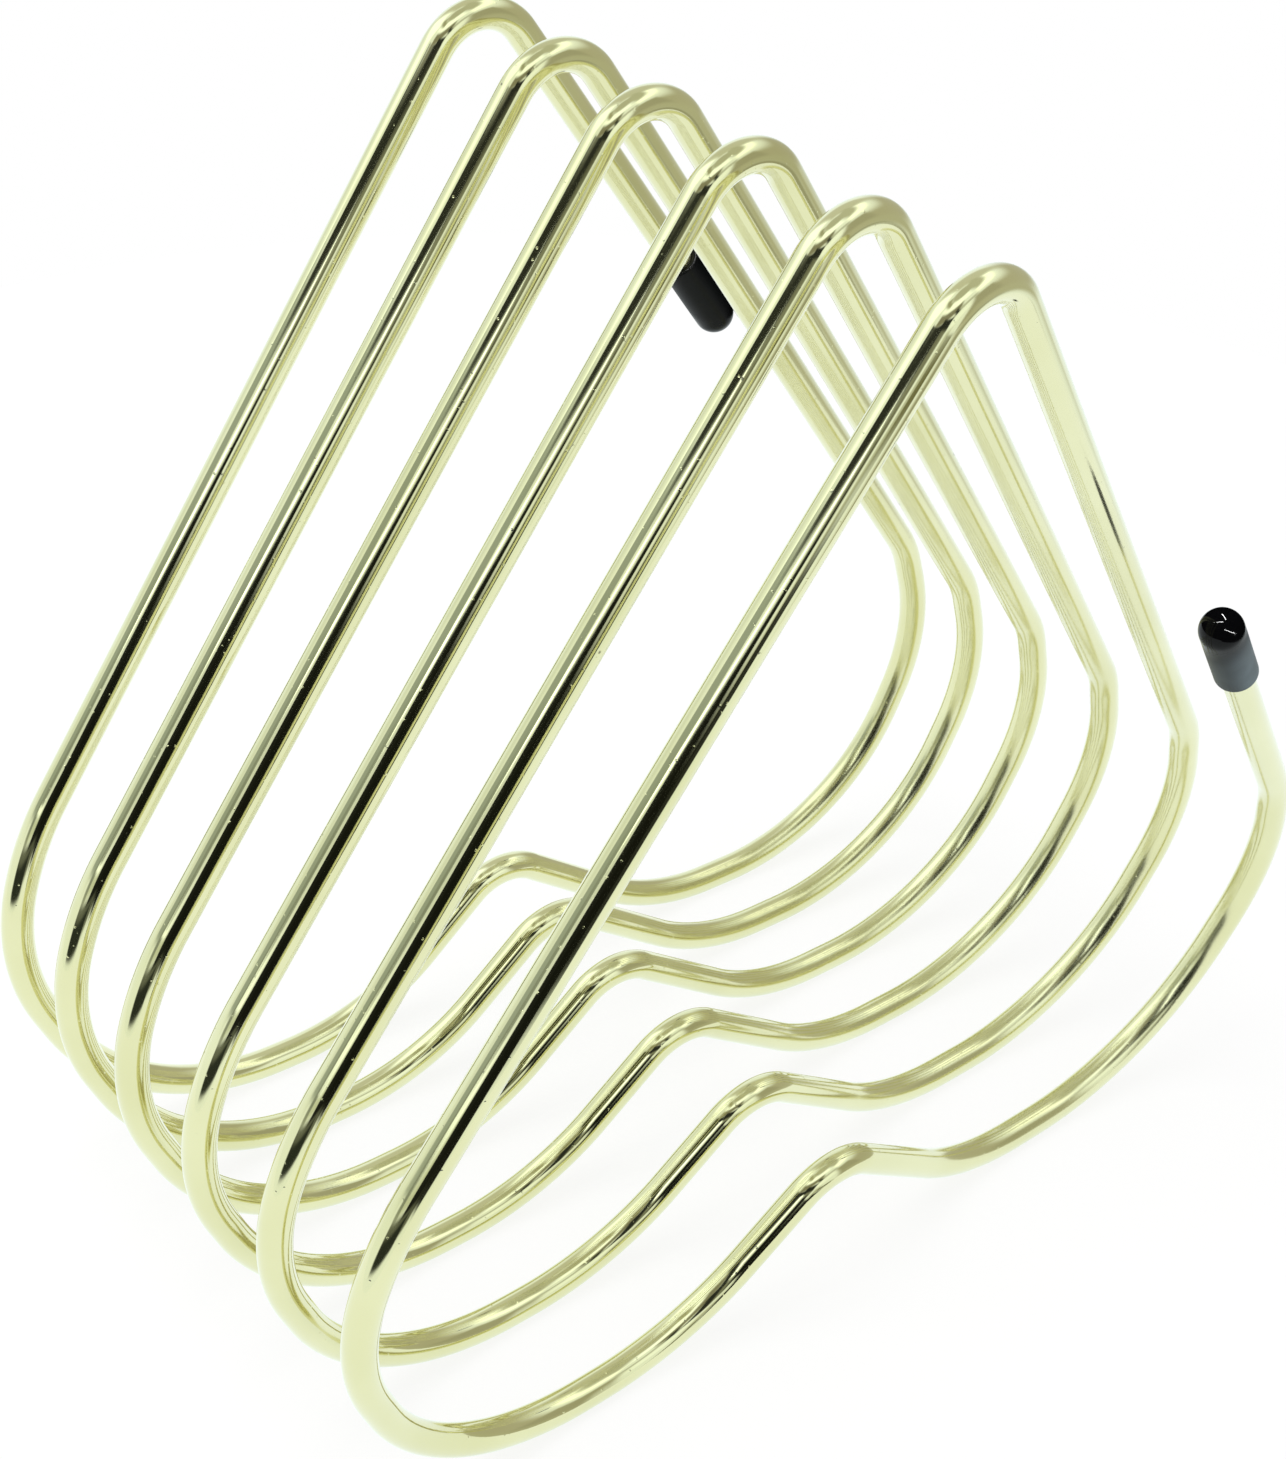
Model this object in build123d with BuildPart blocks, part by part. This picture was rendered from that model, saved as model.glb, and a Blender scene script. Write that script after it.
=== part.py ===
"""Letter rack: one plated wire wound into a row of upside-down hearts, with a soft cap on each end.

The hearts stand on their two lobes with the point up, one behind the other along Y.
Letters stand in the gaps between them. Millimetres, +Z up, front of the rack towards -Y.
"""

import math
import os

from build123d import *

# Wire
wire_diameter = 5.0
foot_depth = 0.5  # how deep each lobe is flattened where it stands on the table

# Heart outline: corners of the wire's axis, as half widths from the middle and heights from the table
apex_height = 177.5
shoulder_half_width = 85.3
shoulder_height = 62.5
side_half_width = 92.4
side_height = 42.5
lobe_outer_half_width = 75.5
lobe_inner_half_width = 30.5
cleft_height = 26.4
cleft_offset = -3.2  # the cleft was bent a little to the left of the middle

# Bend radii of the wire's axis
apex_radius = 9.5
left_shoulder_radius = 48.0
right_shoulder_radius = 24.0
side_radius = 35.0
lobe_outer_radius = 40.0
lobe_inner_radius = 40.0
cleft_radius = 10.0
bend_share = 0.98  # most of a straight run that the bends at its two ends may take up

# Coil: spacing of the hearts, and how each turn differs from the one behind it
heart_count = 6
heart_pitch = 18.2  # at the middle of the rack
pitch_growth = 0.9  # added to the pitch by each turn towards the front
fan_angle = 1.4  # degrees that each turn tips forwards
twist_angle = 0.7  # degrees that each turn swings round the upright

# Straight ends of the wire, from the last bend's corner
rear_end_length = 82.5
front_end_length = 59.5

# Soft end caps
cap_depth = 15.5  # length of wire inside a cap
cap_wall = 0.85
cap_end_wall = 2.0
cap_clearance = 0.02  # between the wire and the cap's bore

# Values worked out from the sizes above
wire_radius = wire_diameter / 2
lobe_height = wire_radius - foot_depth
cap_bore_radius = wire_radius + cap_clearance
cap_radius = cap_bore_radius + cap_wall
fan_slope = math.tan(math.radians(fan_angle))
twist_slope = math.tan(math.radians(twist_angle))

# One heart, from its apex down the left side and up the right: half width, height and bend radius
heart = [
    (0, apex_height, apex_radius),
    (-shoulder_half_width, shoulder_height, left_shoulder_radius),
    (-side_half_width, side_height, side_radius),
    (-lobe_outer_half_width, lobe_height, lobe_outer_radius),
    (-lobe_inner_half_width, lobe_height, lobe_inner_radius),
    (cleft_offset, cleft_height, cleft_radius),
    (lobe_inner_half_width, lobe_height, lobe_inner_radius),
    (lobe_outer_half_width, lobe_height, lobe_outer_radius),
    (side_half_width, side_height, side_radius),
    (shoulder_half_width, shoulder_height, right_shoulder_radius),
]
runs = [math.dist(a[:2], b[:2]) for a, b in zip(heart, heart[1:] + heart[:1])]
perimeter = sum(runs)


def coil_point(turns, x, z):
    """A point of the coil, this many turns from its middle: each turn steps forwards, fans and twists."""
    step = heart_pitch * turns + pitch_growth * turns**2 / 2
    fan = fan_slope * turns * (z - shoulder_height)
    twist = twist_slope * turns * x
    return Vector(x, twist - fan - step, z)


def leg_point(turns, from_shoulder):
    """A point of a right leg, this far up it from the corner at its shoulder."""
    up = from_shoulder / runs[-1]
    x = shoulder_half_width * (1 - up)
    z = shoulder_height + (apex_height - shoulder_height) * up
    return coil_point(turns, x, z)


def coil_corners():
    """Corners of the whole wire's axis from rear to front, with the bend radius wanted at each.

    The rear end follows the coil. The front end stays in its own heart, since no next one draws it on.
    """
    first_apex = -heart_count / 2
    last_shoulder = first_apex + heart_count - runs[-1] / perimeter
    corners = [leg_point(first_apex - rear_end_length / perimeter, runs[-1] - rear_end_length)]
    radii = []
    for turn in range(heart_count):
        travelled = 0
        for (x, z, radius), run in zip(heart, runs):
            corners.append(coil_point(first_apex + turn + travelled / perimeter, x, z))
            radii.append(radius)
            travelled += run
    corners.append(leg_point(last_shoulder, front_end_length))
    return corners, radii


def fitted_radii(corners, radii):
    """The wanted radii, made smaller only where two bends would need more than the run between them."""
    lengths = [(b - a).length for a, b in zip(corners, corners[1:])]
    half_turns = []
    for before, corner, after in zip(corners, corners[1:], corners[2:]):
        half_turns.append(math.radians((corner - before).get_angle(after - corner)) / 2)
    tangents = [radius * math.tan(half) for radius, half in zip(radii, half_turns)]
    wanted = [a + b for a, b in zip([0] + tangents, tangents + [0])]
    shares = [min(1, bend_share * length / want) for length, want in zip(lengths, wanted)]
    return [radius * min(pair) for radius, pair in zip(radii, zip(shares, shares[1:]))]


# Heart wire: one unbroken tube, flattened where its lobes stand
corners, wanted_radii = coil_corners()
with BuildPart() as heart_wire:
    with BuildLine() as wire_axis:
        FilletPolyline(*corners, radius=fitted_radii(corners, wanted_radii))
    axis_line = wire_axis.wire()
    with BuildSketch(Plane(origin=axis_line @ 0, z_dir=axis_line % 0)):
        Circle(wire_radius)
    sweep()
    swept_volume = heart_wire.part.volume
    split(bisect_by=Plane.XY, keep=Keep.TOP)


def end_cap(wire_end, outwards):
    """A dipped cap with a round closed end: a cup pushed over the wire until it meets the wire's end."""
    across = Vector(0, 0, 1).cross(outwards)
    half_section = Plane(origin=wire_end, x_dir=across, z_dir=across.cross(outwards))
    dome_start = cap_end_wall - cap_radius
    with BuildPart() as cap:
        with BuildSketch(half_section):
            with BuildLine():
                Polyline(
                    (0, cap_end_wall),
                    (0, 0),
                    (cap_bore_radius, 0),
                    (cap_bore_radius, -cap_depth),
                    (cap_radius, -cap_depth),
                    (cap_radius, dome_start),
                )
                CenterArc((0, dome_start), cap_radius, 0, 90)
            make_face()
        revolve(axis=Axis(wire_end, outwards))
    return cap


rear_cap = end_cap(axis_line @ 0, -(axis_line % 0))
front_cap = end_cap(axis_line @ 1, axis_line % 1)

# The origin goes on the table, under the middle of the whole rack
pieces = {"heart_wire": heart_wire, "front_cap": front_cap, "rear_cap": rear_cap}
middle = Compound([piece.part for piece in pieces.values()]).bounding_box().center()
to_origin = Location((-middle.X, -middle.Y, 0))

os.makedirs("parts", exist_ok=True)
for name, piece in pieces.items():
    solid = piece.part.moved(to_origin)
    solid.label = name
    export_step(solid, f"parts/{name}.step")


def least_gap(line, spacing=2.0):
    """The least clear distance between stretches of the tube that are half a heart or more apart."""
    count = round(line.length / spacing)
    points = [line @ (i / count) for i in range(count + 1)]
    apart = round(perimeter / 2 / spacing)
    gap = math.inf
    for i, a in enumerate(points):
        for b in points[i + apart :]:
            gap = min(gap, (a - b).length)
    return gap - wire_diameter


section = math.pi * wire_radius**2
print(f"wire length {axis_line.length:.1f}, swept volume {swept_volume:.1f}")
print(f"section times length {section * axis_line.length:.1f}")
print(f"least gap of the coil to itself {least_gap(axis_line):.2f}")
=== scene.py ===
"""Letter rack: the looks of its gold-plated heart wire and its two black dipped caps, in a white studio."""

import math

import bpy
from mathutils import Matrix, Vector, noise


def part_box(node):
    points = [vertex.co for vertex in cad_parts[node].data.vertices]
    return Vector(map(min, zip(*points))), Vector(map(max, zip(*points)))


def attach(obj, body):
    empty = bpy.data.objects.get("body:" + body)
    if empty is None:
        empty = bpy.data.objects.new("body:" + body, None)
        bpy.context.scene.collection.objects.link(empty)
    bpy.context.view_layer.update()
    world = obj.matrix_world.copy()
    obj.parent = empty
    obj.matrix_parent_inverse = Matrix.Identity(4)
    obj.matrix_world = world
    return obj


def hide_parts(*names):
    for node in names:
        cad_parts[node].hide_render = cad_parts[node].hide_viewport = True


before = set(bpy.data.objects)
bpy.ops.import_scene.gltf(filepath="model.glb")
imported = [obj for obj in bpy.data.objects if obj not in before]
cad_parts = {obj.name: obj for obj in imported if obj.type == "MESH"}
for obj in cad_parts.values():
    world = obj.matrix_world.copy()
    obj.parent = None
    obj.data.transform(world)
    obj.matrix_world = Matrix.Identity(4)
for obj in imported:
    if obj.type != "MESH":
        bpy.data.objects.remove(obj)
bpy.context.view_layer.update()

MM = 0.001

# Wire
wire_diameter = 5.0 * MM
foot_depth = 0.5 * MM

# Heart outline: corners of the wire's axis, as half widths from the middle and heights from the table
apex_height = 177.5 * MM
shoulder_half_width = 85.3 * MM
shoulder_height = 62.5 * MM
side_half_width = 92.4 * MM
side_height = 42.5 * MM
lobe_outer_half_width = 75.5 * MM
lobe_inner_half_width = 30.5 * MM
cleft_height = 26.4 * MM
cleft_offset = -3.2 * MM

# Bend radii of the wire's axis
apex_radius = 9.5 * MM
left_shoulder_radius = 48.0 * MM
right_shoulder_radius = 24.0 * MM
side_radius = 35.0 * MM
lobe_outer_radius = 40.0 * MM
lobe_inner_radius = 40.0 * MM
cleft_radius = 10.0 * MM

# Coil
heart_count = 6
heart_pitch = 18.2 * MM
pitch_growth = 0.9 * MM
fan_angle = 1.4
twist_angle = 0.7
rear_end_length = 82.5 * MM
front_end_length = 59.5 * MM

# Caps
cap_depth = 15.5 * MM
cap_wall = 0.85 * MM
cap_end_wall = 2.0 * MM
cap_clearance = 0.02 * MM
cap_lip_radius = 0.35 * MM
cap_unevenness = 0.03 * MM
cap_wave = 6.0 * MM  # size of the slow waves in the dipped skin
front_cap_seed = 3.0
rear_cap_seed = 11.0
dust_and_sheen_side = Vector((0.74, -0.67, 0))  # the way that the lighter side of a cap faces, where its painted sheen and its dust are strongest

# Fineness of the meshes
bend_steps = 24
wire_sides = 36
cap_sides = 96
dome_steps = 24
lip_steps = 6
cap_rings = 40

wire_radius = wire_diameter / 2
lobe_height = wire_radius - foot_depth
cap_bore_radius = wire_radius + cap_clearance
cap_radius = cap_bore_radius + cap_wall

# Range in which most of a noise pattern lies
noise_low = 0.3
noise_high = 0.7

# Plating: its tints, its shine, and the scale and depth of its marks
gold_dark = (0.73, 0.70, 0.37, 1)
gold_light = (0.81, 0.78, 0.46, 1)
pit_colour = (0.16, 0.14, 0.06, 1)
lacquer_ior = 1.7
bright_roughness = 0.05
drawn_roughness = 0.09
dulled_roughness = 0.12  # added at the right of the rack, where the plating is duller
dulled_from = -10.0 * MM
dulled_to = 50.0 * MM
pit_roughness = 0.3
tint_scale = 38.0
line_stretch = (6.0, 6.0, 25.0)  # across and along the wire
line_scale = 4.0
line_depth = 0.004 * MM
grain_scale = 1600.0
grain_depth = 0.002 * MM
pimple_scale = 1100.0
pimple_depth = 0.023 * MM
pimple_core = 0.05  # as a share of a cell of the pattern
pimple_rim = 0.25
pimple_threshold = 0.86  # cells with a chance above this one have a pimple
pit_scale = 420.0
pit_depth = 0.08 * MM
pit_core = 0.04
pit_rim = 0.12
pit_threshold = 0.985

# Vinyl: its black, its grey-blue side, which is partly a dusty bloom and partly a painted sheen, its shine,
# and heights on a cap counted from the wire's end
vinyl_black = (0.003, 0.003, 0.0035, 1)
# Painted sheen: the grey-blue of a cap's side, its tint and its strength stand in for the reflection on the
# satin side, mixed with a dusty bloom
dust_and_sheen_tint = Vector((1, 1.33, 1.48))
front_dust_and_sheen = 0.165
rear_dust_and_sheen = 0.003
vinyl_shine = 0.15
dome_roughness = 0.05
side_roughness = 0.42
dome_gloss_height = 2.0 * MM
side_satin_height = -3.0 * MM
dust_and_sheen_start = 0.0 * MM
dust_and_sheen_full = -8.0 * MM
dust_and_sheen_wobble = 3.0 * MM
dust_and_sheen_slant = 1.5 * MM  # how much higher the painted sheen and dust start on the lighter side
least_dust = 0.7  # share of the painted sheen and dust that is left between patches of dust
darker_side_share = 0.3  # share of the painted sheen and dust that is left on the side turned away, which is painted darker
darker_side_facing = -0.2  # how far the darker and the lighter parts turn to the lighter side
lighter_side_facing = 0.8
dust_scale = 260.0
skin_scale = 700.0
skin_depth = 0.01 * MM

# Camera, in degrees, metres and pixels of the photograph
photo_width = 1286
photo_height = 1459
camera_azimuth = -42.194
camera_elevation = 36.594
camera_roll = 5.031
camera_distance = 365.83 * MM
camera_target = Vector((-1.71, 6.66, 74.07)) * MM
focal_pixels = 2350.4
sensor_width = 36.0
nearest_seen = 10.0 * MM

# Studio: strength of the soft light, the white table in metres, and the soft box over the rack
soft_light = 0.62
table_radius = 0.3
table_sides = 96
table_aside = 0.03
paper_white = (0.9, 0.9, 0.9, 1)
paper_roughness = 0.9
paper_glow = 1.09
mirrored_paper_glow = 1.19
paper_glow_share = 0.75
soft_box_place = Vector((-0.3, 0.2, 1.2))
soft_box_target = Vector((0, 0, 0.05))
soft_box_size = (0.8, 0.8)
soft_box_power = 5.5

# Studio room, in metres and degrees
room_radius = 2.5
room_step = 1
lamp_tint = Vector((0.90, 0.99, 1.0))
room_white = Vector((1.06, 1.06, 1.06))

# Screens of the room, each over the ones before it:
# colour, azimuth, elevation, half width, half height, tilt and width of the soft edge
room_screens = [
    # Windows and walls at the rear left and high up
    ((1.60, 1.60, 1.60), -146, 45, 20, 17, 0, 12),
    ((0.92, 0.92, 0.90), -150, 11, 40, 6, 0, 10),
    ((1.45, 1.45, 1.45), -40, 66, 26, 8, 0, 8),
    ((0.58, 0.55, 0.45), 0, 84, 60, 9, 0, 6),
    ((1.60, 1.56, 1.46), 72, 53, 24, 6.5, 0, 10),
    # Olive walls at the right and the rear, and high up
    ((0.54, 0.49, 0.38), 78, 12, 48, 21, 0, 22),
    ((0.46, 0.42, 0.32), 38, 14, 14, 22, 0, 8),
    ((0.56, 0.52, 0.40), 55, -8, 24, 12, 0, 16),
    ((0.70, 0.66, 0.56), 148, 48, 22, 22, 0, 14),
    ((0.60, 0.57, 0.46), 92, 70, 18, 9, 0, 8),
    ((0.45, 0.42, 0.30), -100, 70, 12, 4.5, 0, 6),
    ((0.42, 0.39, 0.29), 46, -25, 10, 8, 0, 8),
    # Grey walls at the left and over the camera
    ((0.42, 0.44, 0.42), -100.5, 24, 20.5, 12, 8, 5),
    ((0.40, 0.40, 0.33), -88, 9, 8, 4, 0, 5),
    ((0.31, 0.32, 0.29), -89, 17, 8, 9, 0, 8),
    ((0.30, 0.27, 0.20), -42, 50, 27, 7, 0, 6),
    ((0.62, 0.60, 0.54), 8, 41, 16, 4, 0, 6),
    # Dark band over the camera
    ((0.03, 0.03, 0.026), -72, 39.3, 22, 4.4, -3, 3),
    ((0.03, 0.03, 0.026), -31, 35, 16.5, 7.5, -24, 3),
    ((0.05, 0.05, 0.042), -8, 42, 7.5, 3, -58, 3),
    ((0.28, 0.27, 0.21), -29, 24, 10, 4.5, -24, 6),
    # Window at the right of the camera, with an olive edge under it
    ((1.22, 1.22, 1.22), 4, 25, 13, 8, 15, 8),
    ((0.60, 0.58, 0.48), -8, 6, 6, 9, -30, 10),
    ((0.17, 0.15, 0.06), 8, -0.5, 12.5, 2.4, -35, 4),
    # Pale and dark ground at the left of the camera, and strips of light over it
    ((0.72, 0.72, 0.60), -70, 10.5, 12, 3.5, 0, 4),
    ((0.16, 0.16, 0.13), -62, -3, 31, 8, 0, 5),
    ((0.03, 0.033, 0.027), -66, -7, 24, 6, 0, 4),
    ((0.85, 0.85, 0.85), -70, 22, 7, 3.5, 0, 4),
    ((1.50, 1.50, 1.50), -79, 16.5, 10, 1.4, -4, 1.6),
    # Black screens round the camera, and a bright strip over them
    ((0.03, 0.03, 0.026), -3, -8, 13, 8, -35, 4),
    ((0.015, 0.015, 0.013), -43.5, 12.5, 18, 11.5, -6, 3),
    ((0.010, 0.010, 0.008), -27, 2, 17, 9.5, -38, 4),
    ((2.60, 2.60, 2.60), -62.5, 29.2, 15.5, 1.7, 9, 1.5),
]

# Tube lamps over the caps: azimuth and elevation of each one's ends, distance, width and power
tube_lamps = [((140, 62), (26, 81)), ((-125, 50), (-53, 76)), ((-38, 42), (16, 14))]
tube_distance = 1.0
tube_width = 0.03
tube_power = 10.0


def add(tree, kind, inputs=None, **settings):
    """A node with its settings, and each named socket linked or set."""
    made = tree.nodes.new(kind)
    for name, value in settings.items():
        setattr(made, name, value)
    for socket, value in (inputs or {}).items():
        if isinstance(value, bpy.types.NodeSocket):
            tree.links.new(value, made.inputs[socket])
        else:
            made.inputs[socket].default_value = value
    return made


def maths(tree, operation, *values):
    """The result of a Math node on these values or sockets."""
    made = add(tree, "ShaderNodeMath", dict(enumerate(values)), operation=operation)
    return made.outputs[0]


def named_attribute(tree, name, data_type):
    """A field that reads the attribute of this name."""
    made = add(tree, "GeometryNodeInputNamedAttribute", {"Name": name}, data_type=data_type)
    return made.outputs["Attribute"]


def sampled(tree, geometry, value, index, data_type):
    """The value that a point of another geometry has, found by its index."""
    inputs = {"Geometry": geometry, "Value": value, "Index": index}
    return add(tree, "GeometryNodeSampleIndex", inputs, data_type=data_type, domain="POINT").outputs[0]


def stored(tree, geometry, name, value, data_type):
    """The geometry with a named attribute on its points."""
    inputs = {"Geometry": geometry, "Name": name, "Value": value}
    settings = {"data_type": data_type, "domain": "POINT"}
    return add(tree, "GeometryNodeStoreNamedAttribute", inputs, **settings).outputs[0]


# Heart wire

heart = [
    (0, apex_height, apex_radius),
    (-shoulder_half_width, shoulder_height, left_shoulder_radius),
    (-side_half_width, side_height, side_radius),
    (-lobe_outer_half_width, lobe_height, lobe_outer_radius),
    (-lobe_inner_half_width, lobe_height, lobe_inner_radius),
    (cleft_offset, cleft_height, cleft_radius),
    (lobe_inner_half_width, lobe_height, lobe_inner_radius),
    (lobe_outer_half_width, lobe_height, lobe_outer_radius),
    (side_half_width, side_height, side_radius),
    (shoulder_half_width, shoulder_height, right_shoulder_radius),
]
runs = [math.dist(a[:2], b[:2]) for a, b in zip(heart, heart[1:] + heart[:1])]
perimeter = sum(runs)


def heart_corners():
    """A mesh of loose points: the corners of one heart, then the wire's rear and front ends.

    Each carries its bend radius and its travel, the share of a turn from the apex before it.
    The rear end counts from the apex before the first heart, the front end from the one after the last.
    """
    leg = runs[-1]
    points = [(x, 0, z) for x, z, radius in heart]
    bends = [radius for x, z, radius in heart]
    travels = [sum(runs[:i]) / perimeter for i in range(len(heart))]
    for from_apex, travel in (
        (rear_end_length, 1 - rear_end_length / perimeter),
        (leg - front_end_length, -leg / perimeter),
    ):
        down = from_apex / leg
        points.append((shoulder_half_width * down, 0, apex_height - (apex_height - shoulder_height) * down))
        bends.append(0)
        travels.append(travel)
    mesh = bpy.data.meshes.new("heart_corners")
    mesh.from_pydata(points, [], [])
    mesh.attributes.new("bend_radius", "FLOAT", "POINT").data.foreach_set("value", bends)
    mesh.attributes.new("travel", "FLOAT", "POINT").data.foreach_set("value", travels)
    return mesh


def heart_coil_tree():
    """Winds the corners of one heart into a coil, rounds the bends and draws the wire along it."""
    tree = bpy.data.node_groups.new("heart_coil", "GeometryNodeTree")
    sockets = {}
    for name, kind in (
        ("Heart Corners", "NodeSocketGeometry"),
        ("Hearts", "NodeSocketInt"),
        ("Corners", "NodeSocketInt"),
        ("Pitch", "NodeSocketFloat"),
        ("Pitch Growth", "NodeSocketFloat"),
        ("Fan Slope", "NodeSocketFloat"),
        ("Twist Slope", "NodeSocketFloat"),
        ("Shoulder Height", "NodeSocketFloat"),
        ("Wire Radius", "NodeSocketFloat"),
        ("Wire Sides", "NodeSocketInt"),
        ("Bend Steps", "NodeSocketInt"),
        ("Plating", "NodeSocketMaterial"),
    ):
        sockets[name] = tree.interface.new_socket(name, in_out="INPUT", socket_type=kind).identifier
    tree.interface.new_socket("Wire", in_out="OUTPUT", socket_type="NodeSocketGeometry")
    given = add(tree, "NodeGroupInput").outputs

    # One point of the axis for each corner of the coil, and one for each end
    corners = given["Corners"]
    last = maths(tree, "MULTIPLY_ADD", given["Hearts"], corners, 1)
    count = maths(tree, "ADD", last, 1)
    line = add(tree, "GeometryNodeCurvePrimitiveLine").outputs[0]
    chain = add(tree, "GeometryNodeResampleCurve", {"Curve": line, "Count": count}).outputs[0]
    index = add(tree, "GeometryNodeInputIndex").outputs[0]
    place = maths(tree, "SUBTRACT", index, 1)
    corner = maths(tree, "FLOORED_MODULO", place, corners)
    is_first = maths(tree, "COMPARE", index, 0, 0.5)
    is_last = maths(tree, "COMPARE", index, last, 0.5)
    for chosen, entry in ((is_first, corners), (is_last, maths(tree, "ADD", corners, 1))):
        inputs = {"Switch": chosen, "False": corner, "True": entry}
        corner = add(tree, "GeometryNodeSwitch", inputs, input_type="FLOAT").outputs[0]
    position = add(tree, "GeometryNodeInputPosition").outputs[0]
    outline = sampled(tree, given["Heart Corners"], position, corner, "FLOAT_VECTOR")
    travel_field = named_attribute(tree, "travel", "FLOAT")
    bend_field = named_attribute(tree, "bend_radius", "FLOAT")
    travel = sampled(tree, given["Heart Corners"], travel_field, corner, "FLOAT")
    bend = sampled(tree, given["Heart Corners"], bend_field, corner, "FLOAT")

    # Each turn steps forwards, tips and swings, counted from the middle of the coil
    whole_turns = maths(tree, "FLOOR", maths(tree, "DIVIDE", place, corners))
    half = maths(tree, "DIVIDE", given["Hearts"], 2)
    turns = maths(tree, "SUBTRACT", maths(tree, "ADD", whole_turns, travel), half)
    axes = add(tree, "ShaderNodeSeparateXYZ", {0: outline}).outputs
    mean_growth = maths(tree, "MULTIPLY", maths(tree, "DIVIDE", given["Pitch Growth"], 2), turns)
    step = maths(tree, "MULTIPLY", maths(tree, "ADD", given["Pitch"], mean_growth), turns)
    above = maths(tree, "SUBTRACT", axes["Z"], given["Shoulder Height"])
    fan = maths(tree, "MULTIPLY", maths(tree, "MULTIPLY", given["Fan Slope"], turns), above)
    twist = maths(tree, "MULTIPLY", maths(tree, "MULTIPLY", given["Twist Slope"], turns), axes["X"])
    depth = maths(tree, "SUBTRACT", maths(tree, "SUBTRACT", twist, fan), step)
    wound = add(tree, "ShaderNodeCombineXYZ", {"X": axes["X"], "Y": depth, "Z": axes["Z"]}).outputs[0]
    axis = add(tree, "GeometryNodeSetPosition", {"Geometry": chain, "Position": wound}).outputs[0]
    inputs = {"Curve": axis, "Count": given["Bend Steps"], "Radius": bend}
    axis = add(tree, "GeometryNodeFilletCurve", inputs, mode="POLY").outputs[0]
    length = add(tree, "GeometryNodeSplineParameter").outputs["Length"]
    axis = stored(tree, axis, "along", length, "FLOAT")

    # The round wire, with its place along and around the wire kept for the plating
    inputs = {"Resolution": given["Wire Sides"], "Radius": given["Wire Radius"]}
    ring = add(tree, "GeometryNodeCurvePrimitiveCircle", inputs).outputs[0]
    outwards = add(tree, "ShaderNodeVectorMath", {0: position}, operation="NORMALIZE").outputs[0]
    ring = stored(tree, ring, "around", outwards, "FLOAT_VECTOR")
    inputs = {"Curve": axis, "Profile Curve": ring, "Fill Caps": True}
    tube = add(tree, "GeometryNodeCurveToMesh", inputs).outputs[0]
    around_field = named_attribute(tree, "around", "FLOAT_VECTOR")
    around = add(tree, "ShaderNodeSeparateXYZ", {0: around_field}).outputs
    along = named_attribute(tree, "along", "FLOAT")
    inputs = {"X": around["X"], "Y": around["Y"], "Z": along}
    wire_place = add(tree, "ShaderNodeCombineXYZ", inputs).outputs[0]
    tube = stored(tree, tube, "wire_place", wire_place, "FLOAT_VECTOR")

    # The lobes are flat where they stand on the table
    axes = add(tree, "ShaderNodeSeparateXYZ", {0: position}).outputs
    height = maths(tree, "MAXIMUM", axes["Z"], 0)
    standing = add(tree, "ShaderNodeCombineXYZ", {"X": axes["X"], "Y": axes["Y"], "Z": height}).outputs[0]
    tube = add(tree, "GeometryNodeSetPosition", {"Geometry": tube, "Position": standing}).outputs[0]
    tube = add(tree, "GeometryNodeSetShadeSmooth", {"Geometry": tube}).outputs[0]
    tube = add(tree, "GeometryNodeRealizeInstances", {"Geometry": tube}).outputs[0]
    inputs = {"Geometry": tube, "Material": given["Plating"]}
    tube = add(tree, "GeometryNodeSetMaterial", inputs).outputs[0]
    add(tree, "NodeGroupOutput", {"Wire": tube})
    return tree, sockets


def link(name, data):
    """A new object of this mesh, lamp or camera in the scene."""
    made = bpy.data.objects.new(name, data)
    bpy.context.scene.collection.objects.link(made)
    return made


def make_heart_wire(plating):
    """The whole wire as one plain mesh, standing where the CAD wire stands."""
    tree, sockets = heart_coil_tree()
    maker = link("heart_wire_maker", heart_corners())
    modifier = maker.modifiers.new("heart_coil", "NODES")
    modifier.node_group = tree
    for name, value in (
        ("Hearts", heart_count),
        ("Corners", len(heart)),
        ("Pitch", heart_pitch),
        ("Pitch Growth", pitch_growth),
        ("Fan Slope", math.tan(math.radians(fan_angle))),
        ("Twist Slope", math.tan(math.radians(twist_angle))),
        ("Shoulder Height", shoulder_height),
        ("Wire Radius", wire_radius),
        ("Wire Sides", wire_sides),
        ("Bend Steps", bend_steps),
        ("Plating", plating),
    ):
        modifier[sockets[name]] = value
    evaluated = maker.evaluated_get(bpy.context.evaluated_depsgraph_get())
    mesh = bpy.data.meshes.new_from_object(evaluated)
    maker.modifiers.remove(modifier)
    bpy.data.objects.remove(maker)
    mesh.name = "gold_heart_wire"
    cad_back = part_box("heart_wire")[1].y
    own_back = max(vertex.co.y for vertex in mesh.vertices)
    mesh.transform(Matrix.Translation((0, cad_back - own_back, 0)))
    return link("gold_heart_wire", mesh)


def wire_ends(wire):
    """The centre of each end of the wire and the direction in which it points out, rear end first."""
    rings = {}
    for vertex, place in zip(wire.data.vertices, wire.data.attributes["wire_place"].data):
        rings.setdefault(round(place.vector.z, 6), []).append(vertex.co)
    order = sorted(rings)
    ends = []
    for end, inner in ((order[0], order[1]), (order[-1], order[-2])):
        centre, before = (sum(rings[at], Vector()) / len(rings[at]) for at in (end, inner))
        ends.append((centre, (centre - before).normalized()))
    return ends


# Caps


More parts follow.
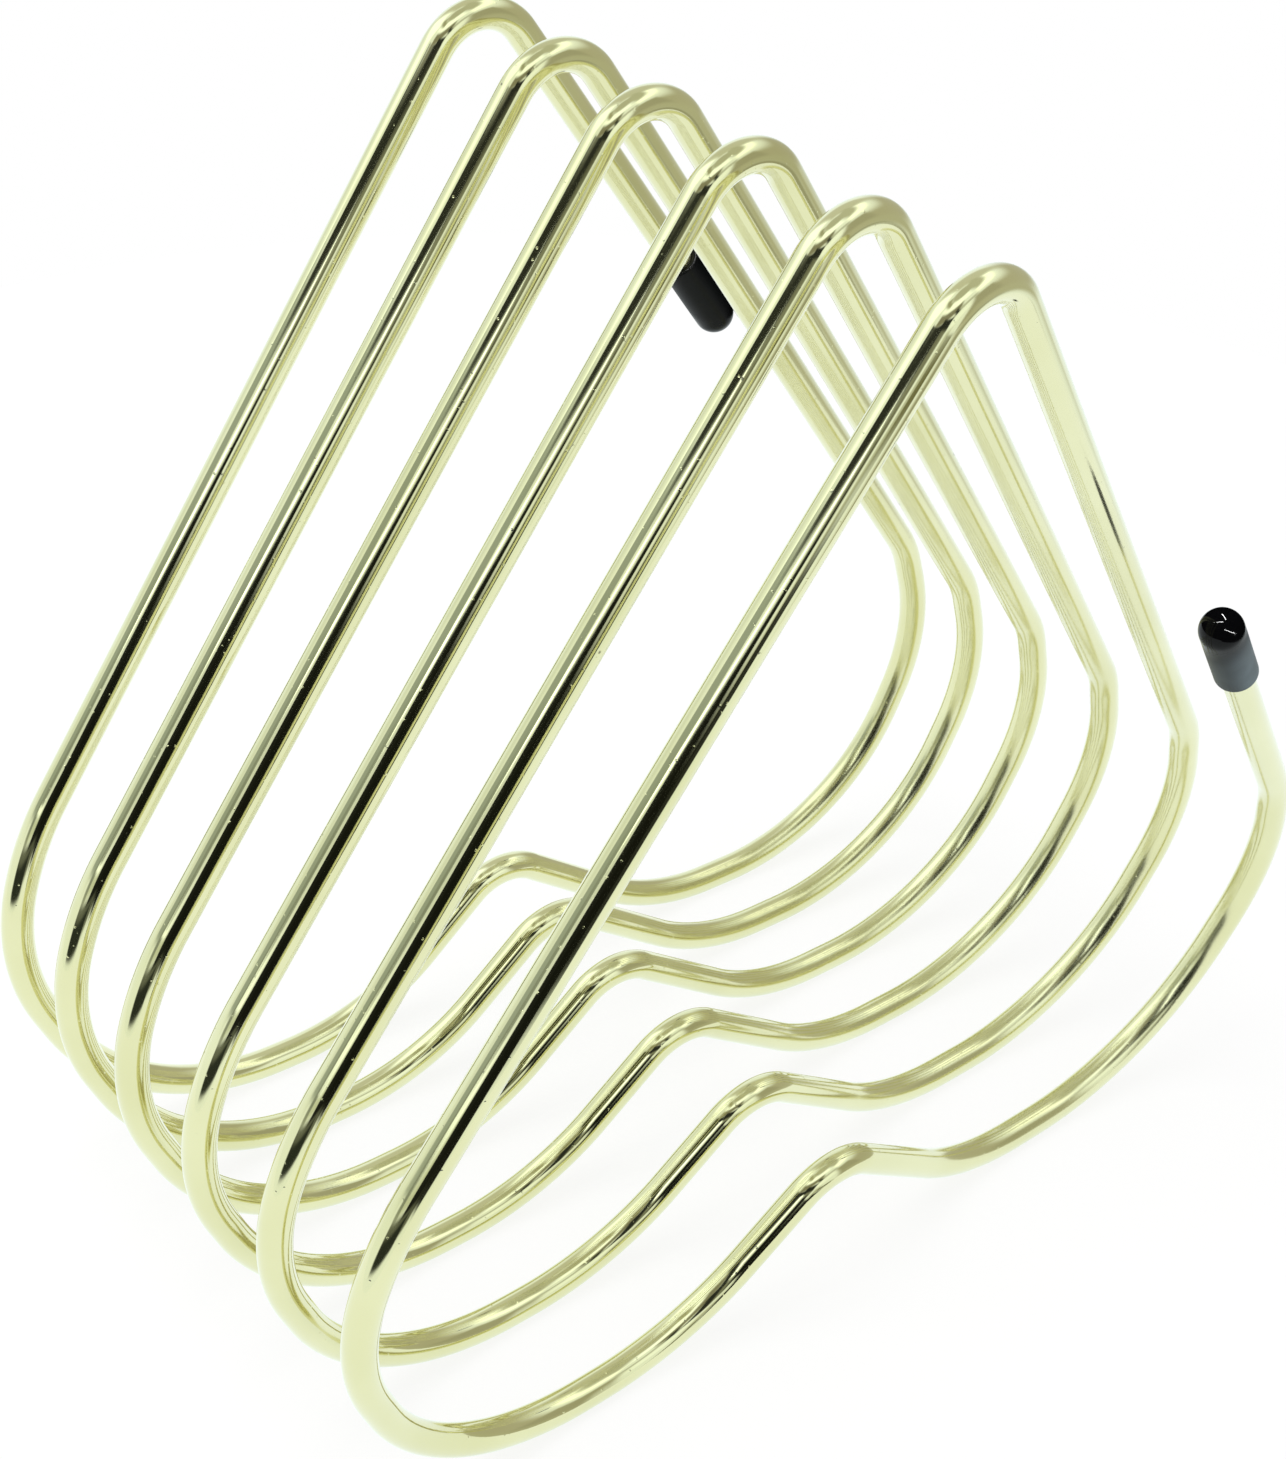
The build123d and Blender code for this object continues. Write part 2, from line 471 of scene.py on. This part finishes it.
def cap_profile():
    """The cap's outline from its bore round the lip and over the dome.

    Each of its points is a radius and a height from the wire's end.
    """
    dome_start = cap_end_wall - cap_radius
    profile = [(cap_bore_radius, 0), (cap_bore_radius, -cap_depth)]
    for i in range(lip_steps + 1):
        turn = math.pi / 2 * i / lip_steps
        radius = cap_radius - cap_lip_radius + cap_lip_radius * math.sin(turn)
        profile.append((radius, -cap_depth + cap_lip_radius - cap_lip_radius * math.cos(turn)))
    side_start = profile[-1][1]
    for i in range(1, cap_rings):
        profile.append((cap_radius, side_start + (dome_start - side_start) * i / cap_rings))
    for i in range(dome_steps + 1):
        turn = math.pi / 2 * i / dome_steps
        profile.append((cap_radius * math.cos(turn), dome_start + cap_radius * math.sin(turn)))
    return profile


def make_cap(name, wire_end, outwards, vinyl, seed):
    """A dipped cap turned from its outline, with the slight unevenness of a dipped skin.

    Each point carries its height from the wire's end and how much it faces the side where the painted sheen
    and dust are strongest.
    """
    profile = cap_profile()
    turned = outwards.to_track_quat("Z", "Y").to_matrix()
    shift = Vector((seed, 0, 0))
    points = []
    heights = []
    sides = []
    for radius, height in profile[:-1]:
        for side in range(cap_sides):
            angle = math.tau * side / cap_sides
            direction = Vector((math.cos(angle), math.sin(angle), 0))
            above = Vector((0, 0, height))
            spot = (direction * cap_radius + above) / cap_wave
            sunk = cap_unevenness * (0.5 + 0.5 * noise.noise(spot + shift))
            is_skin = radius > cap_bore_radius + cap_clearance
            kept = radius - sunk if is_skin else radius
            points.append(wire_end + turned @ (direction * kept + above))
            heights.append(height)
            # How much this point faces the side that is painted lighter with sheen
            sides.append((turned @ direction).dot(dust_and_sheen_side))
    tip = len(points)
    tip_height = profile[-1][1]
    points.append(wire_end + turned @ Vector((0, 0, tip_height - cap_unevenness / 2)))
    heights.append(tip_height)
    sides.append(0)
    floor_centre = len(points)
    points.append(wire_end.copy())
    heights.append(0)
    sides.append(0)
    faces = []
    for ring in range(len(profile) - 2):
        for side in range(cap_sides):
            a, b = ring * cap_sides + side, ring * cap_sides + (side + 1) % cap_sides
            faces.append((a, b, b + cap_sides, a + cap_sides))
    top = (len(profile) - 2) * cap_sides
    for side in range(cap_sides):
        following = (side + 1) % cap_sides
        faces.append((top + side, top + following, tip))
        faces.append((following, side, floor_centre))
    mesh = bpy.data.meshes.new(name)
    mesh.from_pydata(points, [], faces)
    mesh.attributes.new("cap_height", "FLOAT", "POINT").data.foreach_set("value", heights)
    mesh.attributes.new("cap_side", "FLOAT", "POINT").data.foreach_set("value", sides)
    mesh.polygons.foreach_set("use_smooth", [True] * len(faces))
    mesh.materials.append(vinyl)
    mesh.update()
    return link(name, mesh)


# Materials


def new_material(name):
    """A new node material, its tree and its Principled shader."""
    material = bpy.data.materials.new(name)
    material.use_nodes = True
    tree = material.node_tree
    shader = tree.nodes["Principled BSDF"]
    return material, tree, shader


def ramp(tree, value, low, high, from_value, to_value, shape="LINEAR"):
    """The value, mapped from one range to another and held inside it."""
    inputs = {"Value": value, "From Min": low, "From Max": high, "To Min": from_value, "To Max": to_value}
    return add(tree, "ShaderNodeMapRange", inputs, interpolation_type=shape).outputs[0]


def noise_pattern(tree, place, scale, detail):
    """A soft random pattern from nought to one."""
    inputs = {"Vector": place, "Scale": scale, "Detail": detail}
    return add(tree, "ShaderNodeTexNoise", inputs).outputs["Fac"]


def rare_spots(tree, place, scale, core, rim, threshold, shape="LINEAR"):
    """Round spots in a few cells of a pattern: one in their cores, falling to nought at their rims."""
    cells = add(tree, "ShaderNodeTexVoronoi", {"Vector": place, "Scale": scale}, feature="F1").outputs
    spots = ramp(tree, cells["Distance"], core, rim, 1.0, 0.0, shape)
    chance = add(tree, "ShaderNodeSeparateColor", {"Color": cells["Color"]}).outputs[0]
    return maths(tree, "MULTIPLY", spots, maths(tree, "GREATER_THAN", chance, threshold))


def relieved(tree, height, depth, strength, normal=None, sunk=False):
    """The normal of a fine relief of this depth, on top of another normal where one is given."""
    inputs = {"Strength": strength, "Distance": depth, "Height": height}
    if normal is not None:
        inputs["Normal"] = normal
    return add(tree, "ShaderNodeBump", inputs, invert=sunk).outputs[0]


def blended(tree, share, start, end):
    """A colour between two others. Each of them is a fixed colour or a socket."""
    mixed = add(tree, "ShaderNodeMix", {"Factor": share, 6: start, 7: end}, data_type="RGBA")
    return mixed.outputs[2]


def gold_plating():
    """Bright pale gold on drawn wire: faint lines, fine grain, pimples, pits and slow changes of tint."""
    material, tree, shader = new_material("gold_plating")
    shader.inputs["Metallic"].default_value = 1.0
    shader.inputs["Coat Weight"].default_value = 1.0
    shader.inputs["Coat IOR"].default_value = lacquer_ior
    spot = add(tree, "ShaderNodeTexCoord").outputs["Object"]
    wire_place = add(tree, "ShaderNodeAttribute", attribute_name="wire_place").outputs["Vector"]

    clouds = noise_pattern(tree, spot, tint_scale, detail=3.0)
    tint = add(tree, "ShaderNodeValToRGB", {"Fac": clouds})
    dark_end, light_end = tint.color_ramp.elements
    dark_end.position = noise_low
    dark_end.color = gold_dark
    light_end.position = noise_high
    light_end.color = gold_light

    drawn = add(tree, "ShaderNodeMapping", {"Vector": wire_place, "Scale": line_stretch}).outputs[0]
    lines = noise_pattern(tree, drawn, line_scale, detail=4.0)
    grain = noise_pattern(tree, spot, grain_scale, detail=2.0)
    pits = rare_spots(tree, spot, pit_scale, pit_core, pit_rim, pit_threshold)
    pimples = rare_spots(
        tree, spot, pimple_scale, pimple_core, pimple_rim, pimple_threshold, shape="SMOOTHSTEP"
    )
    tree.links.new(blended(tree, pits, tint.outputs[0], pit_colour), shader.inputs["Base Color"])

    across = add(tree, "ShaderNodeSeparateXYZ", {0: spot}).outputs["X"]
    dulled = ramp(tree, across, dulled_from, dulled_to, 0.0, dulled_roughness)
    streaked = ramp(tree, lines, noise_low, noise_high, bright_roughness, drawn_roughness)
    rough = maths(tree, "ADD", streaked, dulled)
    tree.links.new(rough, shader.inputs["Coat Roughness"])
    pitted = maths(tree, "MULTIPLY_ADD", pits, pit_roughness, rough)
    tree.links.new(pitted, shader.inputs["Roughness"])

    relief = relieved(tree, lines, line_depth, strength=0.35)
    relief = relieved(tree, grain, grain_depth, strength=0.3, normal=relief)
    relief = relieved(tree, pimples, pimple_depth, strength=0.8, normal=relief)
    relief = relieved(tree, pits, pit_depth, strength=0.6, normal=relief, sunk=True)
    tree.links.new(relief, shader.inputs["Normal"])
    return material


def black_vinyl(name, dust_and_sheen):
    """Dipped black vinyl: a glossy dome, and a side with this much grey-blue, partly a slightly dusty bloom
    and partly a painted sheen that stands in for the satin side's reflection.
    """
    material, tree, shader = new_material(name)
    shader.inputs["Specular IOR Level"].default_value = vinyl_shine
    spot = add(tree, "ShaderNodeTexCoord").outputs["Object"]
    height = add(tree, "ShaderNodeAttribute", attribute_name="cap_height").outputs["Fac"]
    facing = add(tree, "ShaderNodeAttribute", attribute_name="cap_side").outputs["Fac"]
    dust = noise_pattern(tree, spot, dust_scale, detail=4.0)

    # The painted sheen and dust start unevenly under the dome, are patchy, and are strongest on the side
    # that is painted lighter
    wobbling = maths(tree, "MULTIPLY_ADD", dust, dust_and_sheen_wobble, height)
    slanted = maths(tree, "MULTIPLY_ADD", facing, -dust_and_sheen_slant, wobbling)
    side = ramp(tree, slanted, dust_and_sheen_full, dust_and_sheen_start, 1.0, 0.0, "SMOOTHSTEP")
    patches = ramp(tree, dust, noise_low, noise_high, least_dust, 1.0)
    patchy = maths(tree, "MULTIPLY", side, patches)
    # Painted lighter side: more of the sheen towards one side of the cap
    turned = ramp(tree, facing, darker_side_facing, lighter_side_facing, darker_side_share, 1.0, "SMOOTHSTEP")
    dust_and_sheen_share = maths(tree, "MULTIPLY", patchy, turned)
    # Painted sheen: the grey-blue that stands in for the satin side's reflection, with a dusty bloom, over
    # the black
    colour = blended(tree, dust_and_sheen_share, vinyl_black, (*(dust_and_sheen * dust_and_sheen_tint), 1))
    tree.links.new(colour, shader.inputs["Base Color"])

    rough = ramp(tree, slanted, side_satin_height, dome_gloss_height, side_roughness, dome_roughness)
    tree.links.new(rough, shader.inputs["Roughness"])
    skin = noise_pattern(tree, spot, skin_scale, detail=2.0)
    tree.links.new(relieved(tree, skin, skin_depth, strength=0.02), shader.inputs["Normal"])
    return material


# Studio


def seen_share(tree):
    """One for what the camera sees directly, in a mirror or through glass, and nought for other light."""
    path = add(tree, "ShaderNodeLightPath").outputs
    seen = maths(tree, "MAXIMUM", path["Is Camera Ray"], path["Is Glossy Ray"])
    return maths(tree, "MAXIMUM", seen, path["Is Transmission Ray"])


def studio_world():
    """Soft white light from everywhere, and plain white where it is seen."""
    world = bpy.data.worlds.new("white_studio")
    world.use_nodes = True
    tree = world.node_tree
    light = tree.nodes["Background"]
    light.inputs["Color"].default_value = (1, 1, 1, 1)
    strength = ramp(tree, seen_share(tree), 0.0, 1.0, soft_light, 1.0)
    tree.links.new(strength, light.inputs["Strength"])
    bpy.context.scene.world = world


def studio_floor():
    """A round white table that keeps the rack's soft shadow."""
    centre = Vector((table_aside, table_aside, 0))
    turns = [math.tau * i / table_sides for i in range(table_sides)]
    rim = [centre + table_radius * Vector((math.cos(turn), math.sin(turn), 0)) for turn in turns]
    mesh = bpy.data.meshes.new("white_table")
    mesh.from_pydata(rim, [], [tuple(range(table_sides))])
    table = link("white_table", mesh)
    material, tree, shader = new_material("white_paper")
    shader.inputs["Base Color"].default_value = paper_white
    shader.inputs["Roughness"].default_value = paper_roughness
    shader.inputs["Specular IOR Level"].default_value = 0.0
    mirrored = add(tree, "ShaderNodeLightPath").outputs["Is Glossy Ray"]
    strength = ramp(tree, mirrored, 0.0, 1.0, paper_glow, mirrored_paper_glow)
    white = blended(tree, mirrored, (1, 1, 1, 1), (*lamp_tint, 1))
    glow = add(tree, "ShaderNodeEmission", {"Color": white, "Strength": strength}).outputs[0]
    share = maths(tree, "MULTIPLY", seen_share(tree), paper_glow_share)
    mixed = add(tree, "ShaderNodeMixShader", {0: share, 1: shader.outputs[0], 2: glow}).outputs[0]
    tree.links.new(mixed, tree.nodes["Material Output"].inputs["Surface"])
    mesh.materials.append(material)


def towards(azimuth, elevation):
    """The direction at this azimuth, from the front towards the right, and this elevation."""
    a, e = math.radians(azimuth), math.radians(elevation)
    return Vector((math.sin(a) * math.cos(e), -math.cos(a) * math.cos(e), math.sin(e)))


def only_mirrored(thing):
    """Keeps a part of the studio out of sight and off the object, apart from its mirror image."""
    thing.visible_camera = False
    thing.visible_diffuse = False
    thing.visible_shadow = False
    thing.visible_transmission = False


def screen_cover(place, azimuth, elevation, half_width, half_height, tilt, softness):
    """How much of a soft-edged screen lies at this place of the room: one inside it and nought outside."""
    level = ((place[0] - azimuth + 180) % 360 - 180) * math.cos(math.radians(elevation))
    upright = place[1] - elevation
    turn = math.radians(tilt)
    beyond_x = abs(math.cos(turn) * level + math.sin(turn) * upright) - half_width
    beyond_y = abs(math.cos(turn) * upright - math.sin(turn) * level) - half_height
    outside = math.hypot(max(beyond_x, 0), max(beyond_y, 0)) + min(max(beyond_x, beyond_y), 0)
    share = max(0, min(1, 0.5 - outside / softness))
    return share * share * (3 - 2 * share)


def studio_room(wire):
    """A wide white room with soft windows, grey walls and dark screens, which only the wire mirrors."""
    centre = Vector((0, 0, apex_height / 2))
    columns = 360 // room_step
    rows = 180 // room_step
    points = []
    colours = []
    for row in range(rows + 1):
        for column in range(columns):
            place = (column * room_step, row * room_step - 90)
            colour = room_white
            for shade, *screen in room_screens:
                colour = colour.lerp(Vector(shade), screen_cover(place, *screen))
            points.append(centre + room_radius * towards(*place))
            colours.extend((*(colour * lamp_tint), 1))
    faces = []
    for row in range(rows):
        for column in range(columns):
            following = (column + 1) % columns
            below = row * columns
            above = below + columns
            faces.append((below + column, below + following, above + following, above + column))
    mesh = bpy.data.meshes.new("studio_room")
    mesh.from_pydata(points, [], faces)
    mesh.attributes.new("room_colour", "FLOAT_COLOR", "POINT").data.foreach_set("color", colours)
    room = link("studio_room", mesh)
    material, tree, _ = new_material("room_walls")
    colour = add(tree, "ShaderNodeAttribute", attribute_name="room_colour").outputs["Color"]
    glow = add(tree, "ShaderNodeEmission", {"Color": colour, "Strength": 1.0}).outputs[0]
    tree.links.new(glow, tree.nodes["Material Output"].inputs["Surface"])
    mesh.materials.append(material)
    only_mirrored(room)
    room.light_linking.receiver_collection = receivers("mirrors_the_room", [wire])


def studio_lamp(name, place, turned, size, power):
    """A soft rectangular lamp at this place, turned by this matrix. It shines towards its own -Z."""
    lamp = bpy.data.lights.new(name, "AREA")
    lamp.shape = "RECTANGLE"
    lamp.size, lamp.size_y = size
    lamp.energy = power
    made = link(name, lamp)
    made.matrix_world = Matrix.Translation(place) @ turned.to_4x4()
    return made


def receivers(name, pieces):
    """A collection of the pieces that a lamp or a glowing wall reaches."""
    made = bpy.data.collections.new(name)
    for piece in pieces:
        made.objects.link(piece)
    return made


def studio_tubes(caps):
    """Thin tube lamps that only the caps mirror, as the short white lines on their domes."""
    lit = receivers("mirrors_the_tubes", caps)
    for ends in tube_lamps:
        start, end = (tube_distance * towards(*place) for place in ends)
        middle = (start + end) / 2
        facing = middle.normalized()
        along = (end - start).normalized()
        turned = Matrix((along, facing.cross(along), facing)).transposed()
        size = ((end - start).length, tube_width)
        lamp = studio_lamp("tube_lamp", middle, turned, size, tube_power)
        lamp.visible_diffuse = False
        lamp.light_linking.receiver_collection = lit


def studio(wire, caps):
    """The whole studio round the rack."""
    studio_world()
    studio_floor()
    studio_room(wire)
    studio_tubes(caps)
    turned = (soft_box_place - soft_box_target).to_track_quat("Z", "Y").to_matrix()
    soft_box = studio_lamp("soft_box", soft_box_place, turned, soft_box_size, soft_box_power)
    soft_box.visible_glossy = False


def studio_camera():
    """The photograph's view, with its perspective and slight roll."""
    back = towards(camera_azimuth, camera_elevation)
    a, roll = math.radians(camera_azimuth), math.radians(camera_roll)
    right = Vector((math.cos(a), math.sin(a), 0))
    up = back.cross(right)
    turned_right = math.cos(roll) * right + math.sin(roll) * up
    turned_up = math.cos(roll) * up - math.sin(roll) * right
    view = bpy.data.cameras.new("photo_camera")
    view.sensor_width = sensor_width
    view.lens = sensor_width * focal_pixels / max(photo_width, photo_height)
    view.clip_start = nearest_seen
    made = link("photo_camera", view)
    axes = Matrix((turned_right, turned_up, back)).transposed().to_4x4()
    made.matrix_world = Matrix.Translation(camera_target + camera_distance * back) @ axes
    bpy.context.scene.camera = made


heart_wire = make_heart_wire(gold_plating())
rear_end, front_end = wire_ends(heart_wire)
# Each cap's vinyl gets its own strength of painted sheen and dust on its side
front_vinyl = black_vinyl("front_cap_vinyl", front_dust_and_sheen)
rear_vinyl = black_vinyl("rear_cap_vinyl", rear_dust_and_sheen)
front_cap = make_cap("front_vinyl_cap", *front_end, front_vinyl, front_cap_seed)
rear_cap = make_cap("rear_vinyl_cap", *rear_end, rear_vinyl, rear_cap_seed)
for piece, node, finish in (
    (heart_wire, "heart_wire", "gold_plated_wire"),
    (front_cap, "front_cap", "black_vinyl"),
    (rear_cap, "rear_cap", "black_vinyl"),
):
    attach(piece, "root")
    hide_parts(node)

studio(heart_wire, (front_cap, rear_cap))
studio_camera()
bpy.context.scene.view_settings.view_transform = "Standard"
